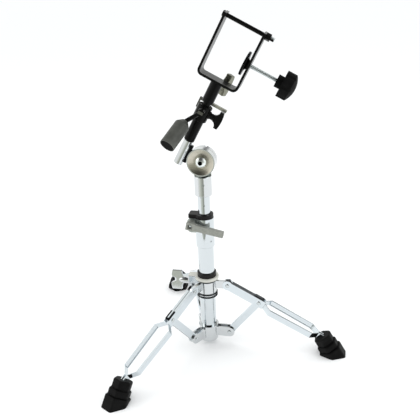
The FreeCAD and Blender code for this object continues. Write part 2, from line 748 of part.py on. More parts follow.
def arm_sleeve():
    """Lower sleeve of the arm, in the arm's frame."""
    return ring(sleeve_r, sleeve_bore_r, post_z1, sleeve_z1)


def arm_collar():
    """Clamp at the top of the arm's sleeve, in the arm's frame."""
    body = cylinder(V(0, 0, arm_collar_z0), V(0, 0, arm_collar_z1), arm_collar_r)
    rims = [e for e in body.Edges if e.BoundBox.ZLength < run_gap]
    body = body.makeFillet(rim_r, rims)
    boss = cylinder(V(0, 0, arm_screw_z), V(arm_boss_reach, 0, arm_screw_z), arm_boss_r)
    lug = box(-arm_lug_half_x, arm_lug_half_x, 0, arm_lug_y1, arm_lug_z0, arm_collar_z1)
    seat = cylinder(V(0, 0, lever_screw_z), V(0, lever_boss_y, lever_screw_z), lever_boss_out_r)
    body = body.fuse([boss, lug, seat])
    low = arm_collar_z0 - cut_over
    high = arm_collar_z1 + cut_over
    bore = cylinder(V(0, 0, low), V(0, 0, high), stem_rod_r + run_gap)
    slit = box(0, long_cut, -arm_slit / 2.0, arm_slit / 2.0, low, high)
    slit.rotate(ORIGIN, Z_AXIS, arm_slit_azimuth)
    skirt = cylinder(V(0, 0, low), V(0, 0, sleeve_z1), sleeve_r + run_gap)
    thread = cylinder(V(0, 0, arm_screw_z), V(long_cut, 0, arm_screw_z), screw_r + run_gap)
    front = cylinder(V(0, 0, lever_screw_z), V(0, -long_cut, lever_screw_z), screw_r + run_gap)
    screw_y = (bar_y0 + arm_lug_y1) / 2.0
    tapped_end = V(0, screw_y, arm_collar_z1 - bar_screw_len)
    tapped = cylinder(tapped_end, V(0, screw_y, high), bar_screw_r + run_gap)
    return body.cut([skirt, bore, slit, thread, front, tapped]).removeSplitter()


def arm_wing_screw():
    """Wing screw on the right of the arm's clamp, in the arm's frame."""
    body = t_wing(arm_boss_reach, stem_rod_r + run_gap, **arm_wing)
    body.translate(V(0, 0, arm_screw_z))
    return body


def clamp_bar():
    """Bright flat bar behind the arm's clamp with its left end bent down."""
    body = box(bar_x0, bar_x1, bar_y0, arm_lug_y1, arm_collar_z1, bar_z1)
    hook = box(bar_x0, bar_x0 + bar_hook_t, bar_y0, arm_lug_y1, bar_hook_z0, bar_z1)
    screw_y = (bar_y0 + arm_lug_y1) / 2.0
    hole = cylinder(V(0, screw_y, 0), V(0, screw_y, 2.0 * bar_z1), bar_screw_r + run_gap)
    return body.fuse(hook).cut(hole).removeSplitter()


def bar_screw():
    """Screw that holds the bar on the clamp."""
    y = (bar_y0 + arm_lug_y1) / 2.0
    shank = cylinder(V(0, y, arm_collar_z1 - bar_screw_len + cut_over), V(0, y, bar_z1), bar_screw_r)
    head = cylinder(V(0, y, bar_z1), V(0, y, bar_z1 + bar_screw_head_t), bar_screw_head_r)
    return shank.fuse(head).removeSplitter()


def grip_axis():
    """Unit vector along the grip, away from its pivot."""
    return grip_end.sub(grip_top).normalize()


def lever_shank():
    """Screw, head and neck of the grip lever, in the arm's frame."""
    thread = cylinder(V(0, -stem_rod_r - run_gap, lever_screw_z), V(0, lever_head_y0, lever_screw_z), screw_r)
    head = cylinder(V(0, lever_head_y0, lever_screw_z), V(0, lever_head_y1, lever_screw_z), lever_head_r)
    neck = cylinder(V(0, neck_y, lever_screw_z), grip_top, neck_r)
    peg = cylinder(grip_top, grip_top.add(grip_axis().multiply(grip_peg)), neck_r)
    ball = Part.makeSphere(neck_r, grip_top)
    return thread.fuse([head, neck, ball, peg]).removeSplitter()


def lever_badge():
    """Plain bright cover on the head of the lever."""
    y1 = lever_head_y1 - chip_t
    z0 = lever_screw_z - chip_half_z
    return box(-chip_half_x, chip_half_x, lever_head_y1, y1, z0, lever_screw_z + chip_half_z)


def lever_grip():
    """Bell-shouldered grip of the lever, in the arm's frame."""
    axis = grip_axis()
    shoulder = grip_top.add(V(axis).multiply(grip_shoulder))
    bell = cone(grip_top, shoulder, grip_bell_r, grip_r)
    barrel = cylinder(shoulder, grip_end, grip_r)
    body = bell.fuse(barrel)
    room_r = neck_r + run_gap
    neck_room = Part.makeSphere(room_r, grip_top)
    neck = cylinder(V(0, neck_y, lever_screw_z), grip_top, room_r)
    peg = cylinder(grip_top, grip_top.add(V(axis).multiply(grip_peg + run_gap)), room_r)
    cap_floor = grip_end.sub(V(axis).multiply(grip_cap_t))
    cap = cylinder(cap_floor, grip_end.add(axis), grip_cap_r + run_gap)
    return body.cut([neck_room, neck, peg, cap]).removeSplitter()


def grip_cap():
    """Flat end plug of the grip."""
    axis = grip_axis()
    return cylinder(grip_end.sub(V(axis).multiply(grip_cap_t)), grip_end, grip_cap_r)


def arm_stem():
    """Upper part of the arm: a tube on a rod that telescopes in the sleeve."""
    tube = cylinder(V(0, 0, stem_z0), V(0, 0, stem_z1), stem_r)
    rod = cylinder(V(0, 0, stem_rod_z0), V(0, 0, stem_z0), stem_rod_r)
    bore = cylinder(V(0, 0, stem_floor), V(0, 0, stem_z1 + cut_over), stem_bore_r)
    thread = cylinder(V(0, 0, rear_screw_z), V(long_cut, 0, rear_screw_z), screw_r + run_gap)
    return tube.fuse(rod).cut([bore, turned(thread, rear_screw_azimuth)]).removeSplitter()


def rear_wing_screw():
    """Wing screw behind the arm that holds the clamp's peg."""
    body = t_wing(rear_wing_seat, spigot_r + run_gap, **rear_wing)
    body.translate(V(0, 0, rear_screw_z))
    return turned(body, rear_screw_azimuth)


def round_bends(shape, level, radius):
    """Round the two long lower edges of a block whose underside is at a level."""
    bends = [e for e in shape.Edges if e.BoundBox.ZMax < level + run_gap and e.BoundBox.YLength > jaw_half_y]
    return shape.makeFillet(radius, bends)


def jaw_bracket():
    """U bracket of flat bar, in the arm's frame."""
    inner = jaw_outer_half - jaw_plate
    outer_box = box(-jaw_outer_half, jaw_outer_half, -jaw_half_y, jaw_half_y, jaw_z0, jaw_z1)
    inner_box = box(-inner, inner, -jaw_half_y, jaw_half_y, jaw_z0 + jaw_plate, jaw_z1 + cut_over)
    outer_box = round_bends(outer_box, jaw_z0, jaw_bend_r)
    inner_box = round_bends(inner_box, jaw_z0 + jaw_plate, jaw_bend_r - jaw_plate)
    body = outer_box.cut(inner_box)
    ends = [e for e in body.Edges if e.BoundBox.ZMin > jaw_z1 - run_gap and e.BoundBox.YLength < run_gap]
    body = body.makeFillet(corner_r, ends)
    rod_holes = cylinder(V(-long_cut, 0, rod_z), V(long_cut, 0, rod_z), rod_r + run_gap)
    thread = cylinder(V(0, 0, jaw_screw_z), V(long_cut, 0, jaw_screw_z), screw_r + run_gap)
    return body.cut([rod_holes, thread]).removeSplitter()


def jaw_peg():
    """Peg welded under the bracket that sits in the arm's tube."""
    return cylinder(V(0, 0, spigot_z0), V(0, 0, jaw_z0), spigot_r)


def cross_rod():
    """Rod across the open end of the bracket with a low head at its left end."""
    rod = cylinder(V(-jaw_outer_half, 0, rod_z), V(rod_x1, 0, rod_z), rod_r)
    rod = rod.makeChamfer(fine_r, [e for e in rod.Edges if e.BoundBox.XMin > rod_x1 - run_gap])
    head_base = V(-jaw_outer_half, 0, rod_z)
    head_top = V(-jaw_outer_half - rod_head_t, 0, rod_z)
    head = cone(head_base, head_top, rod_head_r, rod_head_r - cut_over)
    return rod.fuse(head).removeSplitter()


def cross_nut():
    """Nut at the right end of the cross rod."""
    body = hexagon(V(jaw_outer_half, 0, rod_z), V(jaw_outer_half + rod_nut_t, 0, rod_z), rod_nut_af, Z_AXIS)
    return body.cut(cylinder(V(0, 0, rod_z), V(long_cut, 0, rod_z), rod_r + run_gap))


def pressure_plate():
    """Round plate that the jaw screw pushes, in the arm's frame."""
    x1 = plate_x0 + plate_t
    disc = cylinder(V(plate_x0, 0, jaw_screw_z), V(x1, 0, jaw_screw_z), plate_r)
    disc = disc.makeFillet(fine_r, [e for e in disc.Edges if e.BoundBox.XLength < run_gap])
    wall = jaw_outer_half - jaw_plate
    hub = cone(V(x1, 0, jaw_screw_z), V(wall - side_gap, 0, jaw_screw_z), plate_hub_r0, plate_hub_r1)
    pocket = cylinder(V(jaw_screw_tip, 0, jaw_screw_z), V(long_cut, 0, jaw_screw_z), screw_r + run_gap)
    return disc.fuse(hub).cut(pocket).removeSplitter()


def jaw_screw():
    """Threaded rod of the clamp."""
    end = knob_x0 + knob_hub_t + knob_t / 2.0
    return cylinder(V(jaw_screw_tip, 0, jaw_screw_z), V(end, 0, jaw_screw_z), screw_r)


def jaw_knob():
    """Lobed knob of the jaw screw."""
    x1 = knob_x0 + knob_hub_t
    x2 = x1 + knob_t
    hub = cylinder(V(knob_x0, 0, jaw_screw_z), V(x1 + cut_over, 0, jaw_screw_z), knob_hub_r)
    x3 = x2 + knob_dome
    ball_r = (knob_r * knob_r + knob_dome * knob_dome) / (2.0 * knob_dome)
    ball = Part.makeSphere(ball_r, V(x3 - ball_r, 0, jaw_screw_z))
    head = cylinder(V(x1, 0, jaw_screw_z), V(x3 + cut_over, 0, jaw_screw_z), knob_r)
    body = head.common(ball.fuse(cylinder(V(x1, 0, jaw_screw_z), V(x2, 0, jaw_screw_z), knob_r)))
    for k in range(knob_lobes):
        angle = 2.0 * math.pi * (k + 0.5) / knob_lobes
        reach = knob_r + knob_notch_r / 2.0
        y = reach * math.cos(angle)
        z = jaw_screw_z + reach * math.sin(angle)
        body = body.cut(cylinder(V(x1 - cut_over, y, z), V(x3 + cut_over, y, z), knob_notch_r))
    body = body.fuse(hub)
    bore = cylinder(V(0, 0, jaw_screw_z), V(x1 + knob_t / 2.0, 0, jaw_screw_z), screw_r + run_gap)
    return body.cut(bore).removeSplitter()


def save(name, shape):
    """Write one node."""
    shape.exportStep("parts/" + name + ".step")


def save_legs():
    """Write the six strips, their rivets, the struts and the feet."""
    near = on_leg(leg_strip())
    mirrored = near.mirror(ORIGIN, Y_AXIS)
    rivet_half = leg_inner_w + leg_web
    for name, azimuth in zip(leg_names, leg_azimuths):
        save("leg_" + name + "_left", turned(near, azimuth))
        save("leg_" + name + "_right", turned(mirrored, azimuth))
        save("leg_" + name + "_strut_rivet", turned(rivet(leg_point(strut_pivot_u), rivet_half), azimuth))
        save("strut_" + name, turned(strut(), azimuth))
        save("foot_" + name, turned(foot(), azimuth))
    top = [turned(rivet(leg_point(0.0), rivet_half), azimuth) for azimuth in leg_azimuths]
    low_point = V(hub_pivot_r, 0, hub_pivot_z)
    low = [turned(rivet(low_point, clevis_inner_w + clevis_t), azimuth) for azimuth in leg_azimuths]
    save("bracket_rivets", Part.makeCompound(top))
    save("hub_rivets", Part.makeCompound(low))


def save_pole():
    """Write the tubes and their clamps."""
    save("base_tube", ring(base_tube_r, base_tube_bore_r, base_tube_z0, base_tube_z1))
    save("lower_hub", lower_hub())
    save("leg_bracket", leg_bracket())
    save("base_collar", base_collar())
    save("base_bushing", base_bushing())
    save("base_wing_screw", base_wing_screw())
    save("height_collar", height_collar())
    save("height_set_screw", height_set_screw())
    save("height_bushing", height_bushing())
    save("height_bolt", clamp_bolt())
    save("height_nut", clamp_nut())
    save("height_lever", height_lever())
    save("upper_tube", upper_tube())


def save_tilter():
    """Write the tilter."""
    save("tilter_base", tilter_base())
    save("socket_screw", socket_screw())
    save("tilter_head", on_arm(tilter_head()))
    save("tilter_bolt", tilter_bolt())
    save("tilter_nut", tilter_nut())


def save_arm():
    """Write the arm and the parts of its clamp."""
    save("arm_sleeve", on_arm(arm_sleeve()))
    save("arm_collar", on_arm(arm_collar()))
    save("arm_wing_screw", on_arm(arm_wing_screw()))
    save("clamp_bar", on_arm(clamp_bar()))
    save("clamp_bar_screw", on_arm(bar_screw()))
    save("lever_shank", on_arm(lever_shank()))
    save("lever_badge", on_arm(lever_badge()))
    save("lever_grip", on_arm(lever_grip()))
    save("lever_grip_cap", on_arm(grip_cap()))
    save("arm_stem", on_arm(arm_stem()))
    save("rear_wing_screw", on_arm(rear_wing_screw()))


def save_clamp():
    """Write the U bracket and its screw."""
    save("jaw_bracket", on_arm(jaw_bracket()))
    save("jaw_peg", on_arm(jaw_peg()))
    save("cross_rod", on_arm(cross_rod()))
    save("cross_nut", on_arm(cross_nut()))
    save("pressure_plate", on_arm(pressure_plate()))
    save("jaw_screw", on_arm(jaw_screw()))
    save("jaw_knob", on_arm(jaw_knob()))


os.makedirs("parts", exist_ok=True)
save_legs()
save_pole()
save_tilter()
save_arm()
save_clamp()
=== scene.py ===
import json
import math

import bmesh
import bpy
from mathutils import Matrix, Vector

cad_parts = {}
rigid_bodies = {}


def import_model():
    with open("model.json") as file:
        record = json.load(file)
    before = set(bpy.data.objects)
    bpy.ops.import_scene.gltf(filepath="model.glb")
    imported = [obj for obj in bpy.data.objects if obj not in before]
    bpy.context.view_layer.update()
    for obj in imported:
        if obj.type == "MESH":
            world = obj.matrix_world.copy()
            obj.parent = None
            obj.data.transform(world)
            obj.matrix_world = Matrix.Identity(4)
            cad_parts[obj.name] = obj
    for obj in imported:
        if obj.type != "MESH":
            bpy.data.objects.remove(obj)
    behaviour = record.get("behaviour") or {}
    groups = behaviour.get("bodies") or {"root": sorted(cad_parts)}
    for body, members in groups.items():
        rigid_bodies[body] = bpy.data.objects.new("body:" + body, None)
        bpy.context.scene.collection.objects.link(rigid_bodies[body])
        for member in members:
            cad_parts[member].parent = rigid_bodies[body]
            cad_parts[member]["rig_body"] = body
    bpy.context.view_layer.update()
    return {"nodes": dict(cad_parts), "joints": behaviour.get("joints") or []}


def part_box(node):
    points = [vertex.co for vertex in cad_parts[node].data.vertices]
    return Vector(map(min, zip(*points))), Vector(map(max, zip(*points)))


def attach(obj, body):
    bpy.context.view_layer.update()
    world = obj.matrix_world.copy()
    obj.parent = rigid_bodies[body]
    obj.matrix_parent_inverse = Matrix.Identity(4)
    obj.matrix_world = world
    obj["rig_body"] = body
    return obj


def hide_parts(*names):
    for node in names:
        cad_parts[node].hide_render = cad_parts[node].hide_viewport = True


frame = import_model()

# Double-braced tripod stand with a tilter, an arm and a U-shaped screw clamp.
# Sizes of the pieces are in millimetres and angles in degrees; the stage is in metres.

MM = 0.001
nodes = frame["nodes"]
joints = {joint["name"]: joint for joint in frame["joints"]}
Y_AXIS = Vector((0, 1, 0))
Z_AXIS = Vector((0, 0, 1))


# ---------------------------------------------------------------- places

def joint_point(name):
    """Point on a joint's axis."""
    return Vector(joints[name]["pos_m"])


def joint_axis(name):
    """Unit vector along a joint's axis."""
    return Vector(joints[name]["axis"]).normalized()


def basis(x_axis, y_axis, z_axis, origin):
    """Matrix that places a local frame."""
    turn = Matrix((x_axis, y_axis, z_axis)).transposed().to_4x4()
    return Matrix.Translation(origin) @ turn


def frame_along(origin, direction, side):
    """Local frame whose X axis is a direction and whose Y axis is near side."""
    x_axis = direction.normalized()
    z_axis = x_axis.cross(side).normalized()
    return basis(x_axis, z_axis.cross(x_axis), z_axis, origin)


ARM_UP = joint_axis("arm_length")
ARM_SIDE = Y_AXIS.cross(ARM_UP)
LEGS = ("a", "b", "c")
LEG_SLOPE = 28.5


def leg_frame(leg):
    """Frame of a leg: X along the leg, Y sideways, Z square to it, origin at its upper pivot."""
    pivot = joint_point("leg_" + leg + "_fold")
    out = Vector((pivot.x, pivot.y, 0)).normalized()
    down = math.radians(LEG_SLOPE)
    along = math.cos(down) * out - math.sin(down) * Z_AXIS
    side = joint_axis("leg_" + leg + "_fold")
    return basis(along, side, along.cross(side), pivot)


# ---------------------------------------------------------------- materials

def shader_of(material):
    """The Principled shader of a node material."""
    return material.node_tree.nodes["Principled BSDF"]


def new_material(name, color, metallic, roughness, specular=0.5):
    """Principled material with constant values set on the shader."""
    material = bpy.data.materials.new(name)
    material.use_nodes = True
    shader = shader_of(material)
    shader.inputs["Base Color"].default_value = (*color, 1)
    shader.inputs["Metallic"].default_value = metallic
    shader.inputs["Roughness"].default_value = roughness
    shader.inputs["Specular IOR Level"].default_value = specular
    return material


def texture(material, kind, scale, **settings):
    """Procedural texture that reads the object's own coordinates."""
    tree = material.node_tree
    coords = tree.nodes.get("Texture Coordinate") or tree.nodes.new("ShaderNodeTexCoord")
    node = tree.nodes.new(kind)
    node.inputs["Scale"].default_value = scale
    for key, value in settings.items():
        node.inputs[key].default_value = value
    tree.links.new(coords.outputs["Object"], node.inputs["Vector"])
    return node


def vary_roughness(material, source, low, high):
    """Roughness that follows a texture between two values."""
    node = material.node_tree.nodes.new("ShaderNodeMapRange")
    node.inputs["To Min"].default_value = low
    node.inputs["To Max"].default_value = high
    material.node_tree.links.new(source, node.inputs["Value"])
    material.node_tree.links.new(node.outputs["Result"], shader_of(material).inputs["Roughness"])


def vary_color(material, source, low, high, first, second):
    """Base colour that goes from one colour to another while a texture goes from low to high."""
    node = material.node_tree.nodes.new("ShaderNodeValToRGB")
    for element, place, color in zip(node.color_ramp.elements, (low, high), (first, second)):
        element.position = place
        element.color = (*color, 1)
    material.node_tree.links.new(source, node.inputs["Fac"])
    material.node_tree.links.new(node.outputs["Color"], shader_of(material).inputs["Base Color"])


def add_bump(material, source, strength, distance):
    """Bump from a texture output."""
    node = material.node_tree.nodes.new("ShaderNodeBump")
    node.inputs["Strength"].default_value = strength
    node.inputs["Distance"].default_value = distance
    material.node_tree.links.new(source, node.inputs["Height"])
    material.node_tree.links.new(node.outputs["Normal"], shader_of(material).inputs["Normal"])


def chrome(name, color, dull, smooth=0.04, haze=0.06):
    """Plated metal: faint haze and finger marks, a little waviness and darker specks."""
    material = new_material(name, color, metallic=1.0, roughness=smooth)
    marks = texture(material, "ShaderNodeTexNoise", scale=38.0, Detail=5.0, Roughness=0.6)
    vary_roughness(material, marks.outputs["Fac"], low=smooth * 0.4, high=smooth + haze)
    specks = texture(material, "ShaderNodeTexNoise", scale=900.0, Detail=3.0)
    vary_color(material, specks.outputs["Fac"], 0.24, 0.44, dull, color)
    wave = texture(material, "ShaderNodeTexNoise", scale=60.0, Detail=1.0)
    add_bump(material, wave.outputs["Fac"], strength=0.06, distance=0.4 * MM)
    return material


GRAZING_FROM = 0.45
GRAZING_TO = 0.85


def grazing_gloss(material, low, high):
    """Gloss that rises towards grazing angles, as lacquer does."""
    tree = material.node_tree
    layer = tree.nodes.new("ShaderNodeLayerWeight")
    layer.inputs["Blend"].default_value = 0.5
    spread = tree.nodes.new("ShaderNodeMapRange")
    spread.inputs["From Min"].default_value = GRAZING_FROM
    spread.inputs["From Max"].default_value = GRAZING_TO
    spread.inputs["To Min"].default_value = low
    spread.inputs["To Max"].default_value = high
    tree.links.new(layer.outputs["Facing"], spread.inputs["Value"])
    tree.links.new(spread.outputs["Result"], shader_of(material).inputs["Specular IOR Level"])


def black_coat(name, color, smooth, specular):
    """Black powder coat with a fine orange-peel and greyer scuffs."""
    material = new_material(name, color, metallic=0.0, roughness=smooth, specular=specular)
    grazing_gloss(material, low=specular, high=0.6)
    peel = texture(material, "ShaderNodeTexNoise", scale=1400.0, Detail=2.0)
    add_bump(material, peel.outputs["Fac"], strength=0.12, distance=0.08 * MM)
    scuffs = texture(material, "ShaderNodeTexNoise", scale=120.0, Detail=8.0, Roughness=0.75)
    worn = tuple(min(1.0, channel * 2.5 + 0.01) for channel in color)
    vary_color(material, scuffs.outputs["Fac"], 0.58, 0.74, color, worn)
    vary_roughness(material, scuffs.outputs["Fac"], low=smooth * 0.8, high=smooth * 1.35)
    return material


def moulded(name, color, smooth, specular, grain_scale, grain_depth):
    """Moulded plastic or rubber with a fine grain and uneven sheen."""
    material = new_material(name, color, metallic=0.0, roughness=smooth, specular=specular)
    grain = texture(material, "ShaderNodeTexVoronoi", scale=grain_scale)
    add_bump(material, grain.outputs["Distance"], strength=0.25, distance=grain_depth)
    bloom = texture(material, "ShaderNodeTexNoise", scale=45.0, Detail=6.0)
    pale = tuple(min(channel * 1.7 + 0.004, channel + 0.06) for channel in color)
    vary_color(material, bloom.outputs["Fac"], 0.42, 0.72, color, pale)
    vary_roughness(material, bloom.outputs["Fac"], low=smooth * 0.85, high=min(1.0, smooth * 1.25))
    return material


def blasted(name, color, dark):
    """Matte blasted casting: a coarse grain with darker pits."""
    material = new_material(name, color, metallic=0.75, roughness=0.5)
    grain = texture(material, "ShaderNodeTexNoise", scale=1500.0, Detail=4.0)
    add_bump(material, grain.outputs["Fac"], strength=0.35, distance=0.12 * MM)
    patches = texture(material, "ShaderNodeTexNoise", scale=260.0, Detail=6.0)
    vary_color(material, patches.outputs["Fac"], 0.33, 0.62, dark, color)
    vary_roughness(material, patches.outputs["Fac"], low=0.42, high=0.62)
    return material


# Plated metals: colour, colour of the specks, smoothness, haze.
CHROME = chrome("chrome", (0.64, 0.68, 0.70), (0.60, 0.64, 0.66))
LEG_CHROME = chrome("leg_chrome", (0.67, 0.72, 0.75), (0.62, 0.67, 0.70), 0.06, 0.08)
CAST_CHROME = chrome("cast_chrome", (0.64, 0.66, 0.67), (0.60, 0.62, 0.63), 0.05, 0.10)
# Olive tint of the tilter's hollow: a painted reflection of the room; its extra roughness is the plate's own.
DISH_AND_REFLECTION = chrome("dish_and_painted_reflection", (0.56, 0.53, 0.45), (0.46, 0.43, 0.36), 0.38, 0.12)
# Near-black plate for painted shade and painted dark reflection on gaps, recesses and edges.
PAINTED_SHADE = chrome("painted_shade_plate", (0.012, 0.013, 0.015), (0.008, 0.009, 0.01), 0.4, 0.15)
BOLT = chrome("bolt_steel", (0.86, 0.90, 0.89), (0.70, 0.74, 0.73), 0.34, 0.12)
STEEL = chrome("fastener_steel", (0.62, 0.66, 0.67), (0.50, 0.53, 0.54), 0.10, 0.12)
TAB = chrome("tab_plate", (0.22, 0.22, 0.175), (0.18, 0.18, 0.14), 0.35, 0.2)
# Dark plate of the lever badge; it also paints shade on the clamp bar's hook behind the arm.
BADGE_AND_HOOK_SHADE = chrome("badge_and_hook_shade_plate", (0.13, 0.13, 0.12), (0.09, 0.09, 0.08), 0.25, 0.2)
BAR = chrome("bar_plate", (0.60, 0.60, 0.54), (0.50, 0.50, 0.44), 0.45, 0.15)
LEVER_GREY = blasted("lever_grey", (0.40, 0.41, 0.38), (0.31, 0.32, 0.29))
PAINT = black_coat("black_paint", (0.003, 0.003, 0.003), smooth=0.28, specular=0.10)

# Moulded finishes: colour, smoothness, specular level, scale and depth of the grain.
CREAM = moulded("cap_plate", (0.57, 0.57, 0.52), 0.42, 0.4, 1500.0, 0.03 * MM)
KNOB_BLACK = moulded("knob_plastic", (0.002, 0.002, 0.002), 0.5, 0.05, 1600.0, 0.05 * MM)
NYLON = moulded("black_nylon", (0.006, 0.005, 0.005), 0.38, 0.2, 1200.0, 0.04 * MM)
RUBBER = moulded("black_rubber", (0.002, 0.002, 0.002), 0.55, 0.10, 900.0, 0.10 * MM)
GRIP = moulded("grip_plastic", (0.055, 0.057, 0.050), 0.42, 0.25, 1500.0, 0.05 * MM)
PLUG = moulded("grip_plug", (0.002, 0.002, 0.002), 0.7, 0.06, 420.0, 0.30 * MM)


# ---------------------------------------------------------------- mesh tools

def piece_from(name, verts, faces, material, smooth_angle=32.0):
    """Object from points and faces, smooth below an angle, with face-weighted normals."""
    mesh = bpy.data.meshes.new(name)
    mesh.from_pydata([tuple(v) for v in verts], [], [tuple(f) for f in faces])
    work = bmesh.new()
    work.from_mesh(mesh)
    bmesh.ops.recalc_face_normals(work, faces=work.faces)
    work.to_mesh(mesh)
    work.free()
    mesh.shade_smooth()
    mesh.set_sharp_from_angle(angle=math.radians(smooth_angle))
    mesh.materials.append(material)
    obj = bpy.data.objects.new(name, mesh)
    bpy.context.scene.collection.objects.link(obj)
    return obj


def weighted(obj):
    """Keep large flat faces flat between their rounded edges."""
    modifier = obj.modifiers.new("weighted", "WEIGHTED_NORMAL")
    modifier.keep_sharp = True
    return obj


def stand_for(obj, node):
    """Let an object replace a CAD node: it rides on the node's body, and the node is hidden."""
    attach(obj, nodes[node]["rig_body"])
    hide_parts(node)
    return obj


def round_edges(work, width, segments, angle):
    """Round the edges of a mesh that are sharper than an angle. A width that doesn't fit is cut down."""
    limit = math.radians(angle)
    sharp = [e for e in work.edges if len(e.link_faces) == 2 and e.calc_face_angle(0) > limit]
    bmesh.ops.bevel(work, geom=sharp, offset=width, segments=segments, profile=0.5, affect="EDGES",
                    clamp_overlap=True)


# WIDEST is more than any piece can take, so each one gets the widest rounding that fits its mesh.
WIDEST = 350 * MM
WELD = 0.001 * MM
COPLANAR_ANGLE = 1.0
EDGE_ANGLE = 28.0
SHELL_SMOOTH = 40.0


def polished(node, material, segments=2):
    """Copy of a CAD node with rounded edges, which stands for it."""
    work = bmesh.new()
    work.from_mesh(nodes[node].data)
    bmesh.ops.remove_doubles(work, verts=work.verts, dist=WELD)
    bmesh.ops.dissolve_limit(work, angle_limit=math.radians(COPLANAR_ANGLE), verts=work.verts,
                             edges=work.edges)
    round_edges(work, WIDEST, segments, EDGE_ANGLE)
    verts = [v.co.copy() for v in work.verts]
    faces = [[v.index for v in f.verts] for f in work.faces]
    work.free()
    obj = weighted(piece_from(node + "_shell", verts, faces, material, SHELL_SMOOTH))
    return stand_for(obj, node)


def on_ring(place, distance, radius, angle):
    """Point at a distance along local X and a radius from it, in millimetres."""
    return place @ Vector((distance * MM, radius * math.cos(angle) * MM, radius * math.sin(angle) * MM))


def lathe(name, profile, place, material, segments):
    """Solid of revolution about local X. The profile lists (distance, radius) in millimetres."""
    verts = []
    rings = []
    for distance, radius in profile:
        count = segments if radius > 0 else 1
        rings.append([len(verts) + k for k in range(count)])
        verts += [on_ring(place, distance, radius, 2 * math.pi * k / segments) for k in range(count)]
    faces = []
    for first, second in zip(rings, rings[1:]):
        for k in range(segments):
            n = (k + 1) % segments
            loop = [ring[i % len(ring)] for ring, i in ((first, k), (first, n), (second, n), (second, k))]
            faces.append(list(dict.fromkeys(loop)))
    faces += [ring for ring in (rings[0], rings[-1]) if len(ring) > 1]
    return piece_from(name, verts, faces, material)


def join(name, parts):
    """Join objects into the first one, under a new name."""
    bpy.ops.object.select_all(action="DESELECT")
    for part in parts:
        part.select_set(True)
    bpy.context.view_layer.objects.active = parts[0]
    bpy.ops.object.join()
    parts[0].name = name
    parts[0].data.name = name
    return parts[0]


# Corners of a thread's rings, rings per turn, and how much of the depth its ends lose.
THREAD_SIDES = 24
THREAD_ROWS = 6
END_CHAMFER = 0.6
THREAD_SMOOTH = 80.0


def threaded(name, place, length, radius, pitch, depth, material):
    """Rod along local X with a helical thread that runs out at both ends, sizes in millimetres."""
    verts = []
    rows = int(length / pitch * THREAD_ROWS)
    for i in range(rows + 1):
        x = length * i / rows
        ease = min(1.0, x / pitch, (length - x) / pitch)
        for k in range(THREAD_SIDES):
            turn = k / THREAD_SIDES
            phase = (x / pitch - turn) % 1.0
            r = radius - depth * ease * abs(2.0 * phase - 1.0)
            if ease < 1.0:
                r = min(r, radius - depth * (1.0 - ease) * END_CHAMFER)
            verts.append(on_ring(place, x, r, 2 * math.pi * turn))
    rings = [[i * THREAD_SIDES + k for k in range(THREAD_SIDES)] for i in range(rows + 1)]
    faces = [rings[0], rings[-1]]
    for first, second in zip(rings, rings[1:]):
        for k in range(THREAD_SIDES):
            n = (k + 1) % THREAD_SIDES
            faces.append([first[k], first[n], second[n], second[k]])
    return piece_from(name, verts, faces, material, THREAD_SMOOTH)


def mirrored(side):
    """Closed outline from the points of its upper side, mirrored about the X axis."""
    return side + [(x, -y) for x, y in reversed(side)]


def plate(name, outline, place, low, high, material):
    """Flat plate in a local frame, in millimetres, from an outline in its X and Y."""
    count = len(outline)
    verts = [place @ Vector((x * MM, y * MM, z * MM)) for z in (low, high) for x, y in outline]
    sides = [[k, (k + 1) % count, (k + 1) % count + count, k + count] for k in range(count)]
    faces = sides + [list(range(count)), list(range(count, 2 * count))]
    return piece_from(name, verts, faces, material)


# ---------------------------------------------------------------- pieces

def reach(node, origin, axis):
    """Extent of a CAD node along an axis, in millimetres from an origin."""
    places = [(v.co - origin).dot(axis) / MM for v in nodes[node].data.vertices]
    return min(places), max(places)


def girth(node, origin, axis):
    """Largest distance of a CAD node from an axis, in millimetres."""
    away = [v.co - origin for v in nodes[node].data.vertices]
    return max((p - p.dot(axis) * axis).length for p in away) / MM


POLISH = [
    (CHROME, ["base_tube", "upper_tube", "height_collar"]),
    (CAST_CHROME, ["leg_bracket", "tilter_base", "lower_hub", "tilter_head"]),
    (CREAM, ["base_collar"]),
    (BAR, ["clamp_bar"]),
    (NYLON, ["base_bushing", "height_bushing"]),
    (LEVER_GREY, ["height_lever"]),
    (STEEL, ["height_bolt", "height_nut", "tilter_nut", "clamp_bar_screw", "bracket_rivets", "hub_rivets",
             "height_set_screw", "socket_screw"]),
    (BOLT, ["tilter_bolt"]),
    (LEG_CHROME, ["strut_a", "strut_b", "strut_c"]),
    (PAINT, ["arm_sleeve", "arm_collar", "arm_stem", "jaw_bracket", "jaw_peg", "cross_nut",
             "pressure_plate", "lever_shank", "arm_wing_screw"]),
    (BADGE_AND_HOOK_SHADE, ["lever_badge"]),
    (KNOB_BLACK, ["jaw_knob"]),
    (GRIP, ["lever_grip"]),
    (PLUG, ["lever_grip_cap"]),
]


def make_polished():
    """Pieces whose CAD shape only needs rounded edges and a finish."""
    for material, names in POLISH:
        for node in names:
            polished(node, material)
    for leg in LEGS:
        for side in ("left", "right"):
            polished("leg_" + leg + "_" + side, LEG_CHROME)
        polished("leg_" + leg + "_strut_rivet", STEEL)
        polished("foot_" + leg, RUBBER, segments=4)


def tint(obj, material, chosen):
    """Second finish on the faces of a piece that a test picks."""
    obj.data.materials.append(material)
    index = len(obj.data.materials) - 1
    for face in obj.data.polygons:
        if chosen(face):
            face.material_index = index


def away_from(point, origin, axis):
    """Distance of a point from an axis, in millimetres."""
    gap = point - origin
    return (gap - gap.dot(axis) * axis).length / MM


# Disc of the tilter: its rim, the post beside it and the socket of its bolt. The last three compare with
# the depth part of a face's normal.
DISC_R = 21.4
RIM_WIDTH = 1.2
RIM_BACK = 0.1
POST_R = 7.0
WEB_DEPTH = 6.0
SOCKET_R = 4.0
SOCKET_DEPTH = 3.0
TO_FRONT = 0.5
FLAT = 0.9
UPRIGHT = 0.3


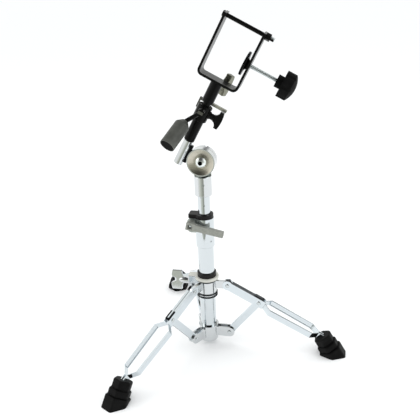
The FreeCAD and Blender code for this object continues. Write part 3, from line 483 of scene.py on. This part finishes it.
def tint_tilter():
    """Rougher hollow whose olive tint is a painted reflection of the room, and painted shade on the recessed
    web beside the post and in the bolt socket.
    """
    disc = bpy.data.objects["tilter_head_shell"]
    bolt = bpy.data.objects["tilter_bolt_shell"]
    centre = joint_point("head_tilt")
    disc_front = min(v.co.y for v in disc.data.vertices)
    bolt_front = min(v.co.y for v in bolt.data.vertices)

    def hollow(face):
        inside = away_from(face.center, centre, Y_AXIS) < DISC_R - RIM_WIDTH
        return inside and face.center.y > disc_front + RIM_BACK * MM and face.normal.y < -TO_FRONT

    def web(face):
        aside = (face.center - centre).dot(ARM_SIDE) / MM
        recessed = face.center.y > disc_front + WEB_DEPTH * MM and abs(face.normal.y) > FLAT
        return recessed and abs(aside + DISC_R) < POST_R

    def socket(face):
        inside = away_from(face.center, centre, Y_AXIS) < SOCKET_R
        deep = face.center.y > bolt_front + SOCKET_DEPTH * MM
        return inside and (deep or abs(face.normal.y) < UPRIGHT)

    # The hollow's olive tint is painted reflection; the web and the bolt socket get painted shade.
    tint(disc, DISH_AND_REFLECTION, hollow)
    tint(disc, PAINTED_SHADE, web)
    tint(bolt, PAINTED_SHADE, socket)


CAP_R = 20.5


def plate_ears():
    """Bright plate on the ears of the base clamp; its cap round the pole stays cream."""
    tint(bpy.data.objects["base_collar_shell"], CAST_CHROME,
         lambda face: away_from(face.center, Vector(), Z_AXIS) > CAP_R)


HOOK_START = 9.0


def shade_bar_hook():
    """Painted shade on the hooked end of the clamp bar, which lies behind the arm."""
    bar = bpy.data.objects["clamp_bar_shell"]
    start = joint_point("jaw_swivel") - HOOK_START * MM * ARM_SIDE
    work = bmesh.new()
    work.from_mesh(bar.data)
    bmesh.ops.bisect_plane(work, geom=work.verts[:] + work.edges[:] + work.faces[:], plane_co=start,
                           plane_no=ARM_SIDE)
    work.to_mesh(bar.data)
    work.free()
    # The hook's dark plate is painted shade.
    tint(bar, BADGE_AND_HOOK_SHADE, lambda face: (face.center - start).dot(ARM_SIDE) < 0)


# Bands of painted shade round the leg bracket, which stand out of its radius by the OUT values.
BRACKET_R = 15.0
BAND_SUNK = 0.4
BAND_SEGMENTS = 96
BEAD_PITCH = 4.6
BEAD_HEIGHT = 3.0
BEAD_OUT = 1.6
SEAM_TOP = 1.6
SEAM_HEIGHT = 2.8
SEAM_OUT = 0.3


def ring_band(name, low, high, out):
    """Band of painted shade round the leg bracket, in millimetres, whose top slopes down to its outer edge.
    """
    place = frame_along(Vector(), Z_AXIS, Y_AXIS)
    inner, outer = BRACKET_R - BAND_SUNK, BRACKET_R + out
    profile = [(low, inner), (low, outer - 0.3), (low + 0.3, outer), (high - out, outer),
               (high, inner + 0.05), (high, inner)]
    return lathe(name, profile, place, PAINTED_SHADE, BAND_SEGMENTS)


def make_bracket_bands():
    """Painted dark reflection on two bold beads round the foot of the leg bracket, and painted shadow in the
    seam under its cap plate.
    """
    foot, top = reach("leg_bracket", Vector(), Z_AXIS)
    parts = [bpy.data.objects["leg_bracket_shell"]]
    for k in range(2):
        low = foot + k * BEAD_PITCH
        parts.append(ring_band("bead_" + str(k), low, low + BEAD_HEIGHT, BEAD_OUT))
    seam = top - SEAM_TOP
    parts.append(ring_band("seam", seam - SEAM_HEIGHT, seam, SEAM_OUT))
    stand_for(join("leg_bracket_shell", parts), "leg_bracket")


# Hood over a leg's pivot, in the leg's frame: its ends along the leg, its lower edge and inner radius.
HOOD_BACK = 9.0
HOOD_FRONT = 4.6
HOOD_LOW = 4.2
HOOD_R = 7.9


def shade_hood(leg):
    """Painted shade on the inner side of the rounded hood over a leg's pivot."""
    place = leg_frame(leg).inverted()

    def hood(face):
        x, y, z = place @ face.center / MM
        return -HOOD_BACK < x < HOOD_FRONT and z > HOOD_LOW and math.hypot(x, z) > HOOD_R

    tint(bpy.data.objects["leg_" + leg + "_right_shell"], PAINTED_SHADE, hood)


# Slot and tongue on a leg's cover: ends along the leg, half widths, and how far they stand out of the
# cover and go into it.
SLOT_FIRST = 46.0
SLOT_LAST = 63.0
SLOT_HALF = 4.2
SLOT_ROUND = 2.2
SLOT_LIFT = 0.08
TONGUE_FIRST = 45.0
TONGUE_LAST = 59.5
TONGUE_HALF = 1.3
TONGUE_LIFT = 0.2
SLOT_SUNK = 0.5


def leg_slot(leg):
    """Painted shade in the U slot at the lower end of a leg's cover, with the bright tongue that it leaves.
    """
    node = "leg_" + leg + "_left"
    place = leg_frame(leg)
    level = max(reach(node, place.translation, place.col[2].to_3d()))
    slot = [(SLOT_FIRST, SLOT_HALF), (SLOT_LAST - SLOT_ROUND, SLOT_HALF), (SLOT_LAST - 0.5, SLOT_HALF - 0.8),
            (SLOT_LAST, SLOT_HALF - SLOT_ROUND)]
    tongue = [(TONGUE_FIRST, TONGUE_HALF), (TONGUE_LAST - 1.0, TONGUE_HALF), (TONGUE_LAST, 0.5)]
    low = level - SLOT_SUNK
    dark = plate("slot_" + leg, mirrored(slot), place, low, level + SLOT_LIFT, PAINTED_SHADE)
    bright = plate("tongue_" + leg, mirrored(tongue), place, low, level + TONGUE_LIFT, LEG_CHROME)
    stand_for(join(node + "_shell", [bpy.data.objects[node + "_shell"], dark, bright]), node)


# Wing screws. Root, neck and out lie along the axis from the joint's point: the stem reaches root, and the
# lobes go from neck to out. Half and thick are the lobes' half height and thickness, notch is the depth of
# the notch, stem and screw are radii, tip is how far the screw goes back, and turn is the angle at rest.
BASE_WING = {"half": 16.4, "root": 8.0, "neck": 11.0, "out": 29.4, "thick": 5.0, "notch": 7.5, "stem": 5.4,
             "screw": 3.0, "tip": 17.2, "turn": 8.5}
REAR_WING = {"half": 16.4, "root": 8.0, "neck": 11.4, "out": 22.4, "thick": 9.6, "notch": 0.5, "stem": 4.6,
             "screw": 3.0, "tip": 3.2, "turn": 0.0}
NOTCH_HALF = 5.4
NOTCH_FLOOR = 1.8
WING_ROUND = 1.3
WING_ROUND_SEGMENTS = 3
WING_EDGE_ANGLE = 25.0
WING_SMOOTH = 50.0
STEM_SEGMENTS = 48


def wing_lobes(name, size, place, material):
    """Plate with two square lobes and a notch between them, with rounded edges."""
    root, neck, out, half, thick = (size[key] for key in ("root", "neck", "out", "half", "thick"))
    side = [(root, size["stem"] - 0.8), (neck - 0.8, half / 2), (neck + 0.2, half * 0.73), (neck, half),
            (out - 1.6, half), (out - 0.3, half * 0.64), (out, NOTCH_HALF),
            (out - size["notch"], NOTCH_FLOOR)]
    wings = plate(name, mirrored(side), place, -thick / 2, thick / 2, material)
    work = bmesh.new()
    work.from_mesh(wings.data)
    round_edges(work, WING_ROUND * MM, WING_ROUND_SEGMENTS, WING_EDGE_ANGLE)
    work.to_mesh(wings.data)
    work.free()
    wings.data.shade_smooth()
    wings.data.set_sharp_from_angle(angle=math.radians(WING_SMOOTH))
    return wings


def wing_stem(name, size, place, material):
    """Thick stem that tapers to a round nose between the lobes, with the screw behind it."""
    radius, screw, neck, out = (size[key] for key in ("stem", "screw", "neck", "out"))
    nose = neck + 0.3 * (out - neck)
    profile = [(-size["tip"], screw), (0.3, screw), (0.3, radius - 0.5), (0.8, radius),
               (size["root"], radius), (nose - 3.0, radius - 1.2), (nose, 2.4), (nose, 0)]
    return lathe(name, profile, place, material, STEM_SEGMENTS)


def wing_screw(node, joint, lobe_side, material, size):
    """Wing screw on a joint's axis."""
    turn = Matrix.Rotation(math.radians(size["turn"]), 4, "X")
    place = frame_along(joint_point(joint), joint_axis(joint), lobe_side) @ turn
    wings = wing_lobes(node + "_wings", size, place, material)
    stem = wing_stem(node + "_stem", size, place, material)
    stand_for(weighted(join(node + "_shell", [wings, stem])), node)


JAW_PITCH = 1.0
JAW_DEPTH = 0.5


def make_jaw_screw():
    """Threaded steel screw of the jaw."""
    origin = joint_point("jaw_screw_turn")
    low, high = reach("jaw_screw", origin, ARM_SIDE)
    place = frame_along(origin + low * MM * ARM_SIDE, ARM_SIDE, Y_AXIS)
    radius = girth("jaw_screw", origin, ARM_SIDE)
    screw = threaded("jaw_screw_thread", place, high - low, radius, JAW_PITCH, JAW_DEPTH, STEEL)
    stand_for(screw, "jaw_screw")


ROD_THREAD_R = 3.05
ROD_PITCH = 0.8
ROD_DEPTH = 0.35


def make_cross_rod():
    """Black rod across the mouth of the bracket, with bare thread at its free end."""
    low_corner, high_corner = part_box("cross_rod")
    centre = (low_corner + high_corner) / 2
    low, high = reach("cross_rod", centre, ARM_SIDE)
    origin = centre + low * MM * ARM_SIDE
    rod = polished("cross_rod", PAINT)
    nut_end = max(reach("cross_nut", origin, ARM_SIDE))
    place = frame_along(origin + nut_end * MM * ARM_SIDE, ARM_SIDE, Y_AXIS)
    end = threaded("cross_rod_thread", place, high - low - nut_end, ROD_THREAD_R, ROD_PITCH, ROD_DEPTH, STEEL)
    stand_for(join("cross_rod_shell", [rod, end]), "cross_rod")


# ---------------------------------------------------------------- stage

# Place and angles of the camera, and the focal length on its sensor.
CAMERA_AT = Vector((0.20962, -0.85792, 0.59787))
CAMERA_YAW = -13.15
CAMERA_PITCH = 22.164
CAMERA_ROLL = -2.197
CAMERA_LENS = 53.14
CAMERA_SENSOR = 36


def make_camera():
    """Camera at the photograph's view."""
    yaw, pitch, roll = (math.radians(a) for a in (CAMERA_YAW, CAMERA_PITCH, CAMERA_ROLL))
    forward = Vector((math.sin(yaw) * math.cos(pitch), math.cos(yaw) * math.cos(pitch), -math.sin(pitch)))
    right = Vector((math.cos(yaw), -math.sin(yaw), 0))
    up = right.cross(forward)
    right_turned = math.cos(roll) * right + math.sin(roll) * up
    up_turned = math.cos(roll) * up - math.sin(roll) * right
    camera = bpy.data.objects.new("camera", bpy.data.cameras.new("camera"))
    camera.data.sensor_width = CAMERA_SENSOR
    camera.data.lens = CAMERA_LENS
    camera.data.clip_start = 0.01
    camera.data.clip_end = 100
    camera.matrix_world = basis(right_turned, up_turned, -forward, CAMERA_AT)
    bpy.context.scene.collection.objects.link(camera)
    bpy.context.scene.camera = camera


# Floor: how far it goes, where it ends in front and the cut in it.
FLOOR_REACH = 30.0
FLOOR_FRONT = 1.2
CUT_LEFT = -0.8
CUT_RIGHT = 0.17
CUT_RIGHT_FRONT = 0.45
CUT_BACK = 0.43


def make_floor():
    """Plain pale floor. In front, out of the picture, it is cut away, so that the chrome there reflects
    the room."""
    outline = [(-FLOOR_REACH, -FLOOR_FRONT), (CUT_LEFT, -FLOOR_FRONT), (CUT_LEFT, -CUT_BACK),
               (CUT_RIGHT, -CUT_BACK), (CUT_RIGHT_FRONT, -FLOOR_FRONT), (FLOOR_REACH, -FLOOR_FRONT),
               (FLOOR_REACH, FLOOR_REACH), (-FLOOR_REACH, FLOOR_REACH)]
    material = new_material("floor", (0.965, 0.97, 0.975), metallic=0.0, roughness=0.9, specular=0.0)
    floor = piece_from("floor", [(x, y, 0) for x, y in outline], [tuple(range(len(outline)))], material)


def grey(level):
    """Neutral colour of a given level."""
    return (level, level, level)


def room_tone(level):
    """Slightly green grey of the room in front."""
    return (0.97 * level, level, 0.88 * level)


def sky_ramp(tree, source, stops):
    """Colour ramp over a direction coordinate that runs from -1 to 1. The end colours go on outwards."""
    shift = tree.nodes.new("ShaderNodeMapRange")
    shift.inputs["From Min"].default_value = -1.0
    tree.links.new(source, shift.inputs["Value"])
    node = tree.nodes.new("ShaderNodeValToRGB")
    elements = node.color_ramp.elements
    for element, (place, color) in ((elements[0], stops[0]), (elements[1], stops[-1])):
        element.position = (place + 1) / 2
        element.color = (*color, 1)
    for place, color in stops[1:-1]:
        elements.new((place + 1) / 2).color = (*color, 1)
    tree.links.new(shift.outputs["Result"], node.inputs["Fac"])
    return node.outputs["Color"]


def sky_step(tree, source, first, last, below, above):
    """Grey ramp from one level below the first place to another above the last."""
    return sky_ramp(tree, source, [(first, grey(below)), (last, grey(above))])


def mixed(tree, factor, first, second):
    """Mix of two colours; the second may be a constant."""
    node = tree.nodes.new("ShaderNodeMix")
    node.data_type = "RGBA"
    tree.links.new(factor, node.inputs["Factor"])
    tree.links.new(first, node.inputs["A"])
    if isinstance(second, tuple):
        node.inputs["B"].default_value = (*second, 1)
    else:
        tree.links.new(second, node.inputs["B"])
    return node.outputs["Result"]


WALL = (1.05, 1.06, 1.04)
DARK = 0.02
GAP = 0.14
PLAIN = (0.99, 1.0, 1.0)
PLAIN_STRENGTH = 1.03


def back_sky(tree, direction):
    """Pale walls under a dark ceiling, with a dark gap over the backdrop to the right."""
    up = sky_ramp(tree, direction["Z"], [(0.78, WALL), (0.84, grey(0.25)), (0.90, grey(DARK))])
    band = sky_ramp(tree, direction["Z"],
                    [(0.31, grey(0)), (0.37, grey(1)), (0.58, grey(1)), (0.64, grey(0))])
    left = sky_step(tree, direction["X"], -0.22, -0.05, 1, 0)
    near = sky_step(tree, direction["Y"], 0.5, 0.62, 1, 0)
    gap = mixed(tree, near, mixed(tree, left, band, grey(0)), grey(0))
    return mixed(tree, gap, up, grey(GAP))


def front_sky(tree, direction):
    """Room behind the camera: pale to the left, grey to the right and dark above."""
    across = sky_ramp(tree, direction["X"],
                      [(-0.76, WALL), (-0.35, room_tone(0.72)), (0.02, room_tone(0.44))])
    lift = sky_step(tree, direction["Z"], 0.22, 0.36, 0, 1)
    return mixed(tree, lift, across, grey(DARK))


def make_world():
    """Plain pale light, and a room that only reflections show."""
    world = bpy.data.worlds.new("studio")
    bpy.context.scene.world = world
    world.use_nodes = True
    tree = world.node_tree
    tree.nodes.clear()
    plain = tree.nodes.new("ShaderNodeBackground")
    plain.inputs["Color"].default_value = (*PLAIN, 1)
    plain.inputs["Strength"].default_value = PLAIN_STRENGTH
    room = tree.nodes.new("ShaderNodeBackground")
    coords = tree.nodes.new("ShaderNodeTexCoord")
    split = tree.nodes.new("ShaderNodeSeparateXYZ")
    tree.links.new(coords.outputs["Generated"], split.inputs[0])
    back = sky_step(tree, split.outputs["Y"], -0.55, -0.40, 0, 1)
    sky = mixed(tree, back, front_sky(tree, split.outputs), back_sky(tree, split.outputs))
    tree.links.new(sky, room.inputs["Color"])
    path = tree.nodes.new("ShaderNodeLightPath")
    choose = tree.nodes.new("ShaderNodeMixShader")
    tree.links.new(path.outputs["Is Glossy Ray"], choose.inputs["Fac"])
    tree.links.new(plain.outputs[0], choose.inputs[1])
    tree.links.new(room.outputs[0], choose.inputs[2])
    output = tree.nodes.new("ShaderNodeOutputWorld")
    tree.links.new(choose.outputs[0], output.inputs["Surface"])


LIGHTS_AIM = Vector((0.03, 0, 0.25))


def soft_light(name, at, width, height, power, color):
    """Area light that looks at the middle of the stand."""
    light = bpy.data.lights.new(name, "AREA")
    light.shape = "RECTANGLE"
    light.size = width
    light.size_y = height
    light.energy = power
    light.color = color
    lamp = bpy.data.objects.new(name, light)
    aim = (LIGHTS_AIM - Vector(at)).to_track_quat("-Z", "Y")
    lamp.matrix_world = Matrix.Translation(at) @ aim.to_matrix().to_4x4()
    bpy.context.scene.collection.objects.link(lamp)


def make_lights():
    """Soft boxes to the left, right and overhead."""
    soft_light("left_box", (-1.6, -0.5, 1.2), width=1.0, height=1.2, power=5, color=(1.0, 0.98, 0.95))
    soft_light("right_box", (1.7, -0.2, 1.1), width=0.9, height=1.2, power=4, color=(0.96, 0.98, 1.0))
    soft_light("top_box", (0.0, 0.5, 2.0), width=1.2, height=0.8, power=5, color=(1.0, 1.0, 1.0))


make_polished()
tint_tilter()
make_bracket_bands()
wing_screw("base_wing_screw", "base_wing_turn", Z_AXIS, CAST_CHROME, BASE_WING)
wing_screw("rear_wing_screw", "rear_wing_turn", ARM_UP, TAB, REAR_WING)
shade_bar_hook()
plate_ears()
for leg in LEGS:
    shade_hood(leg)
    leg_slot(leg)
make_jaw_screw()
make_cross_rod()
make_camera()
make_floor()
make_world()
make_lights()
bpy.context.scene.view_settings.view_transform = "Standard"
